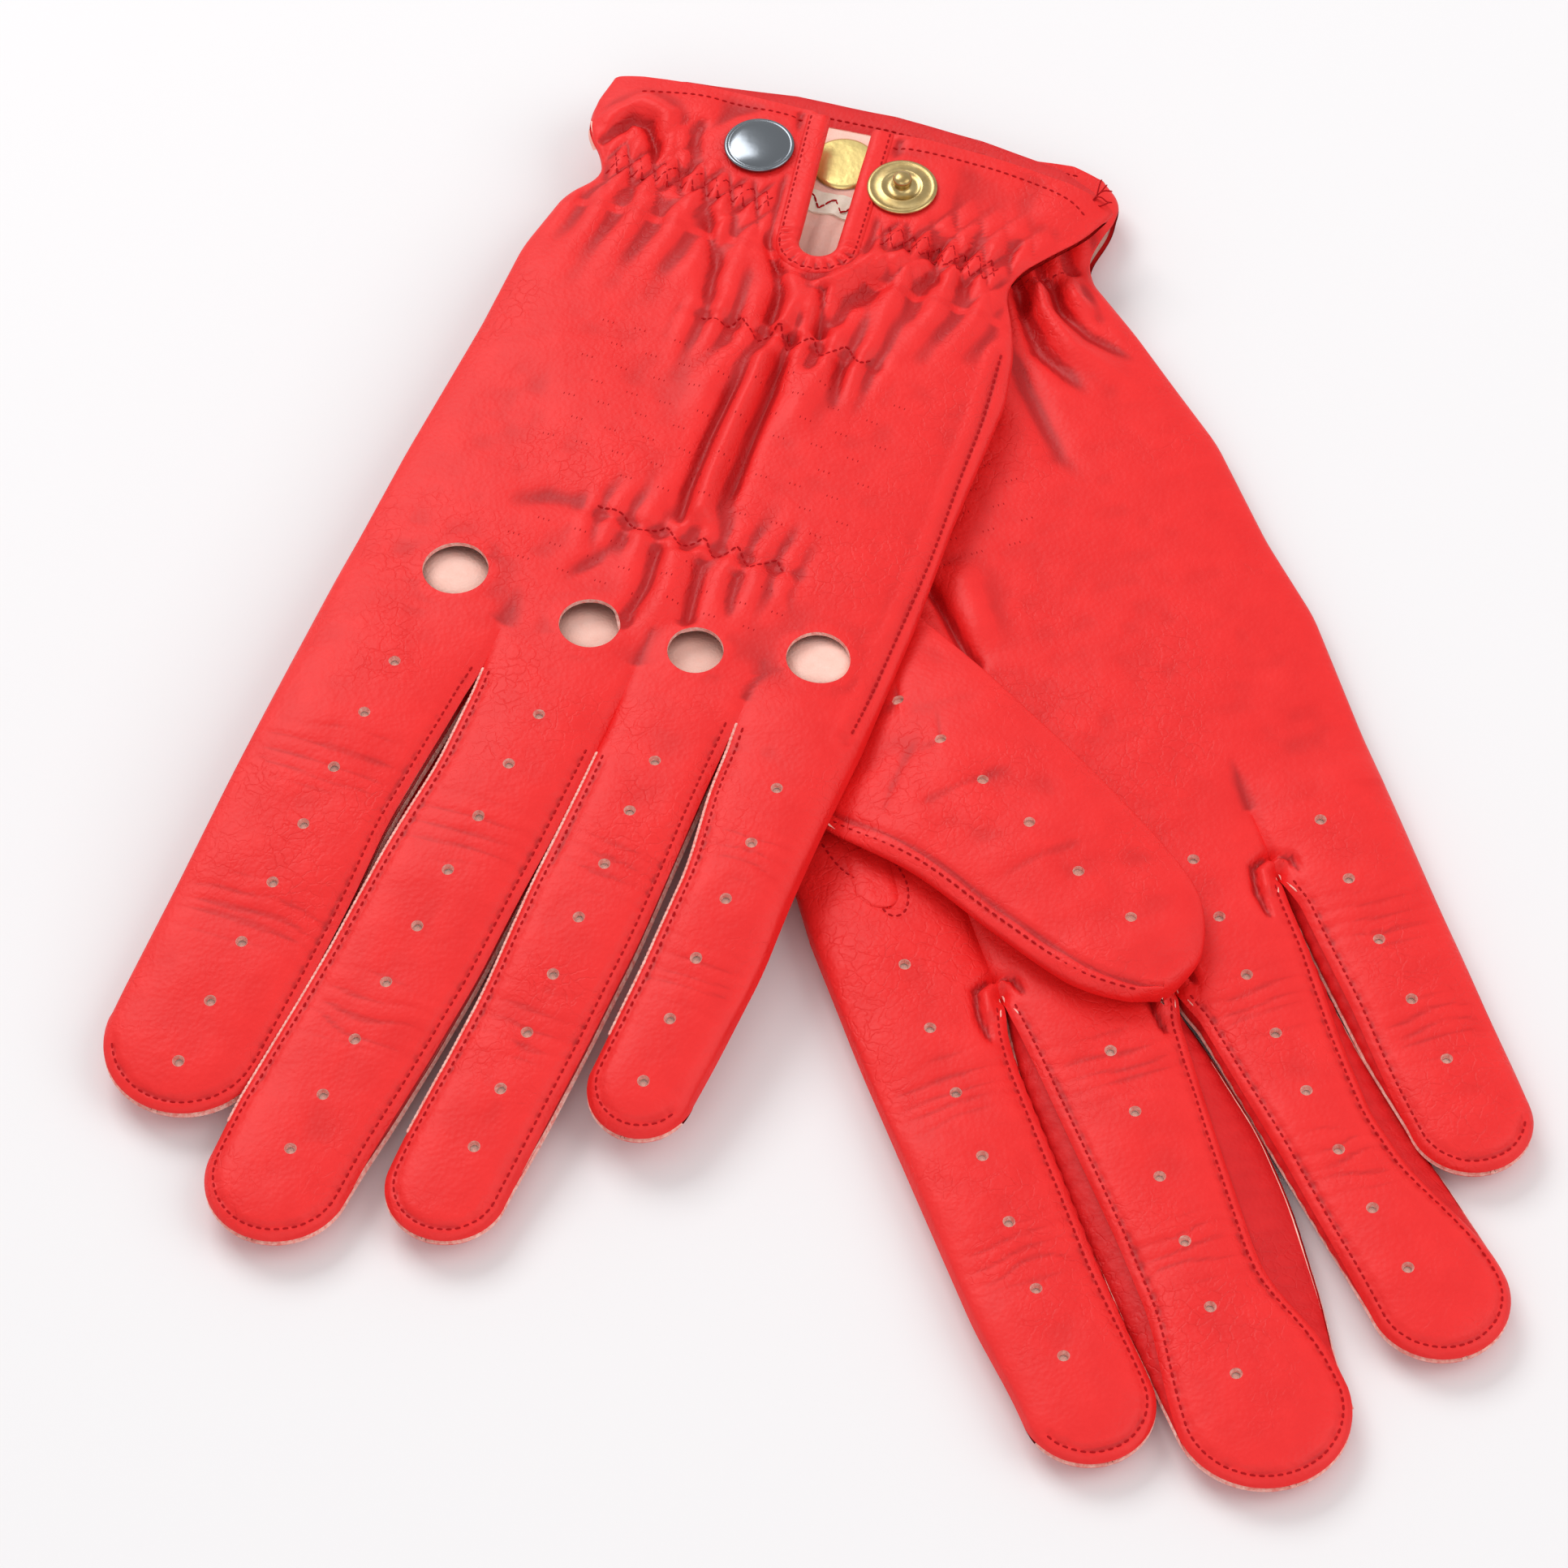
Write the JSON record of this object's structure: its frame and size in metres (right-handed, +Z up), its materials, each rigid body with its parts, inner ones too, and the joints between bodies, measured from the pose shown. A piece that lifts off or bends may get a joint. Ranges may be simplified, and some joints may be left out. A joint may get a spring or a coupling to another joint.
{
  "type": "leather driving gloves",
  "caption": "Pair of leather driving gloves laid crossed: perforated fingers, knuckle holes, gathered wrist, snap vent, thumb folded on the palm.",
  "frame": {"origin": "centre of the pair's bounding box, on the table", "axes": "+Z up from the table; the fingers point towards -Y and the wrists towards +Y"},
  "size_m": [0.2092, 0.2618, 0.0158],
  "materials": {
    "leather": "soft semi-matt grained leather",
    "leather_set_in": "semi-matt leather, a little darker",
    "leather_inside": "matt suede",
    "elastic": "woven cream elastic",
    "gold_foil": "plain gold foil",
    "snap_steel": "pearly polished steel",
    "snap_brass": "aged brass"
  },
  "bodies": {
    "lower_hand": {"l_hand": "leather", "l_thumb_gusset": "leather_set_in", "l_vent_binding": "leather_set_in", "l_cuff_facing": "leather_inside", "l_wrist_elastic": "elastic", "l_back_elastic_near": "elastic", "l_back_elastic_far": "elastic", "l_label_disc": "gold_foil"},
    "lower_index": {"l_index": "leather", "l_fourchette_index": "leather_set_in"},
    "lower_middle": {"l_middle": "leather", "l_fourchette_middle_in": "leather_set_in", "l_fourchette_middle_out": "leather_set_in"},
    "lower_ring": {"l_ring": "leather", "l_fourchette_ring_in": "leather_set_in", "l_fourchette_ring_out": "leather_set_in"},
    "lower_little": {"l_little": "leather", "l_fourchette_little": "leather_set_in"},
    "lower_thumb": {"l_thumb": "leather"},
    "lower_cap_flap": {"l_cap_flap": "leather", "l_snap_cap": "snap_steel", "l_snap_socket": "snap_steel"},
    "lower_stud_flap": {"l_stud_flap": "leather", "l_snap_stud": "snap_brass", "l_snap_post": "snap_brass"},
    "upper_hand": {"u_hand": "leather", "u_thumb_gusset": "leather_set_in", "u_vent_binding": "leather_set_in", "u_cuff_facing": "leather_inside", "u_wrist_elastic": "elastic", "u_back_elastic_near": "elastic", "u_back_elastic_far": "elastic", "u_label_disc": "gold_foil"},
    "upper_index": {"u_index": "leather", "u_fourchette_index": "leather_set_in"},
    "upper_middle": {"u_middle": "leather", "u_fourchette_middle_in": "leather_set_in", "u_fourchette_middle_out": "leather_set_in"},
    "upper_ring": {"u_ring": "leather", "u_fourchette_ring_in": "leather_set_in", "u_fourchette_ring_out": "leather_set_in"},
    "upper_little": {"u_little": "leather", "u_fourchette_little": "leather_set_in"},
    "upper_thumb": {"u_thumb": "leather"},
    "upper_cap_flap": {"u_cap_flap": "leather", "u_snap_cap": "snap_steel", "u_snap_socket": "snap_steel"},
    "upper_stud_flap": {"u_stud_flap": "leather", "u_snap_stud": "snap_brass", "u_snap_post": "snap_brass"}
  },
  "joints": [
    {"name": "upper_glove_lift", "type": "slide", "parent": "lower_hand", "child": "upper_hand", "axis": [0, 0, 1], "range_m": [0, 0.06]},
    {"name": "lower_index_fold", "type": "hinge", "parent": "lower_hand", "child": "lower_index", "pos_m": [0.01899, -0.0629, 0.0076], "axis": [-0.9511, -0.309, 0], "range_deg": [0, 75]},
    {"name": "lower_middle_fold", "type": "hinge", "parent": "lower_hand", "child": "lower_middle", "pos_m": [0.04328, -0.05501, 0.0076], "axis": [-0.9511, -0.309, 0], "range_deg": [0, 75]},
    {"name": "lower_ring_fold", "type": "hinge", "parent": "lower_hand", "child": "lower_ring", "pos_m": [0.06528, -0.04786, 0.0076], "axis": [-0.9511, -0.309, 0], "range_deg": [0, 75]},
    {"name": "lower_little_fold", "type": "hinge", "parent": "lower_hand", "child": "lower_little", "pos_m": [0.08626, -0.04104, 0.0076], "axis": [-0.9511, -0.309, 0], "range_deg": [0, 75]},
    {"name": "lower_thumb_lift", "type": "hinge", "parent": "lower_hand", "child": "lower_thumb", "pos_m": [0.00941, -0.00187, 0.0135], "axis": [-0.2689, -0.9632, 0], "range_deg": [0, 70]},
    {"name": "lower_cap_flap_press", "type": "hinge", "parent": "lower_hand", "child": "lower_cap_flap", "pos_m": [-0.00556, 0.07654, 0.0027], "axis": [0.987, -0.1609, 0], "range_deg": [0, 5]},
    {"name": "lower_stud_flap_press", "type": "hinge", "parent": "lower_hand", "child": "lower_stud_flap", "pos_m": [0.03225, 0.08767, 0.0027], "axis": [0.6918, 0.7221, 0], "range_deg": [0, 5]},
    {"name": "upper_index_fold", "type": "hinge", "parent": "upper_hand", "child": "upper_index", "pos_m": [-0.06403, 0.01008, 0.0158], "axis": [-0.9336, 0.3584, 0], "range_deg": [0, 75]},
    {"name": "upper_middle_fold", "type": "hinge", "parent": "upper_hand", "child": "upper_middle", "pos_m": [-0.04019, 0.00093, 0.0158], "axis": [-0.9336, 0.3584, 0], "range_deg": [0, 75]},
    {"name": "upper_ring_fold", "type": "hinge", "parent": "upper_hand", "child": "upper_ring", "pos_m": [-0.02138, -0.00629, 0.0158], "axis": [-0.9336, 0.3584, 0], "range_deg": [0, 75]},
    {"name": "upper_little_fold", "type": "hinge", "parent": "upper_hand", "child": "upper_little", "pos_m": [-0.00391, -0.01299, 0.0158], "axis": [-0.9336, 0.3584, 0], "range_deg": [0, 75]},
    {"name": "upper_thumb_swing", "type": "hinge", "parent": "upper_hand", "child": "upper_thumb", "pos_m": [-0.05198, 0.03116, 0.0052], "axis": [0, 0, -1], "range_deg": [0, 40]},
    {"name": "upper_cap_flap_open", "type": "hinge", "parent": "upper_hand", "child": "upper_cap_flap", "pos_m": [-0.01562, 0.10633, 0.01485], "axis": [0.6658, -0.7461, 0], "range_deg": [0, 70]},
    {"name": "upper_stud_flap_open", "type": "hinge", "parent": "upper_hand", "child": "upper_stud_flap", "pos_m": [0.02076, 0.09118, 0.01485], "axis": [0.992, 0.1259, 0], "range_deg": [0, 70]}
  ]
}
